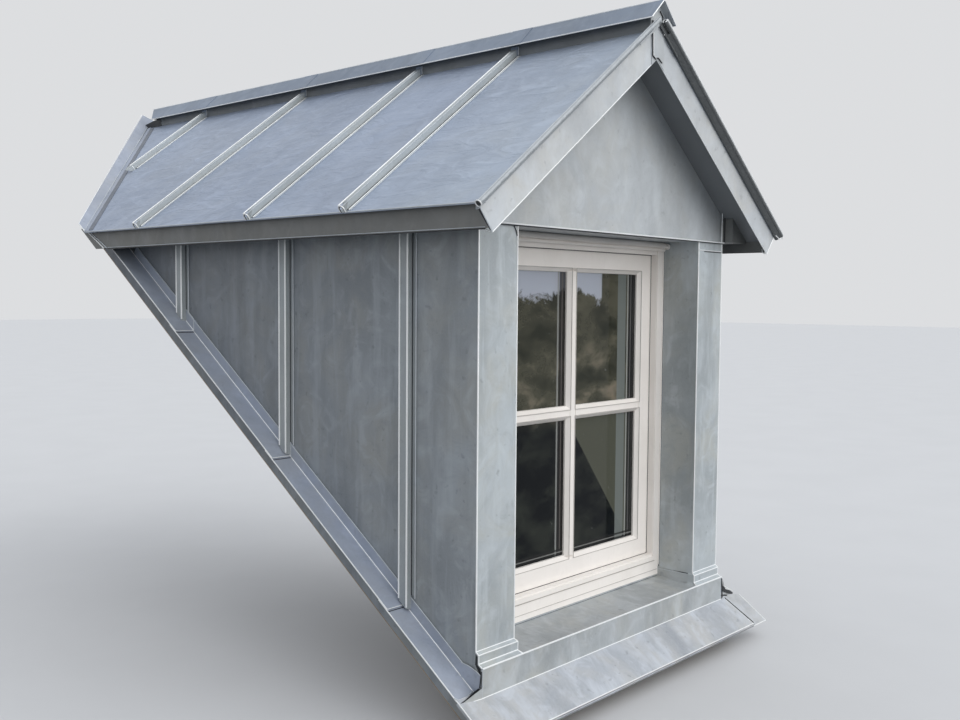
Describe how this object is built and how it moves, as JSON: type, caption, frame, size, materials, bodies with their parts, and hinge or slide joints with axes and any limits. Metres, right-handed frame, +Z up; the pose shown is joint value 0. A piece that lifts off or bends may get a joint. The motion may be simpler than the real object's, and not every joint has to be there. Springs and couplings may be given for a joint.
{
  "type": "dormer window",
  "caption": "Gabled roof dormer clad in folded zinc over a timber frame, with batten seams, flashings and a white casement window with small panes.",
  "frame": {"origin": "on the inclined underside of the front sole, on the centre line, in the plane of the front posts' faces", "axes": "+X across the front to the right of someone outside who faces the window, +Y back into the roof, +Z up"},
  "size_m": [1.2468, 2.2475, 1.6148],
  "materials": {
    "zinc_roof": "weathered blue-grey zinc sheet",
    "zinc_cheek": "weathered dark grey zinc sheet",
    "zinc_front": "weathered pale mottled zinc sheet",
    "timber": "sawn softwood",
    "lining": "pale painted boards",
    "window_wood": "warm white paint on wood",
    "glass": "clear double glazing"
  },
  "bodies": {
    "root": {"apex_cover": "zinc_front", "apron": "zinc_front", "bargeboard_left": "zinc_front", "bargeboard_right": "zinc_front", "casement": "window_wood", "cheek_battens_left": "zinc_cheek", "cheek_battens_right": "zinc_cheek", "cheek_frame_left": "timber", "cheek_frame_right": "timber", "cheek_lining_left": "lining", "cheek_lining_right": "lining", "cheek_zinc_left": "zinc_cheek", "cheek_zinc_right": "zinc_cheek", "corner_post_left": "timber", "corner_post_right": "timber", "eaves_fascia_left": "zinc_cheek", "eaves_fascia_right": "zinc_cheek", "front_sole": "timber", "gable_boards": "timber", "glazing": "glass", "lintel": "timber", "pediment": "zinc_front", "post_cladding_left": "zinc_front", "post_cladding_right": "zinc_front", "rafters": "timber", "ridge_batten": "zinc_cheek", "ridge_beam": "timber", "ridge_cap": "zinc_roof", "roof_battens_left": "zinc_roof", "roof_battens_right": "zinc_roof", "roof_boards_left": "timber", "roof_boards_right": "timber", "roof_sheets_left": "zinc_roof", "roof_sheets_right": "zinc_roof", "side_flashing_left": "zinc_cheek", "side_flashing_right": "zinc_cheek", "side_sole_left": "timber", "side_sole_right": "timber", "sill_cover": "zinc_front", "valley_flashing_left": "zinc_roof", "valley_flashing_right": "zinc_roof", "valley_plate_left": "timber", "valley_plate_right": "timber", "wall_plates": "timber", "window_frame": "window_wood"}
  },
  "joints": []
}
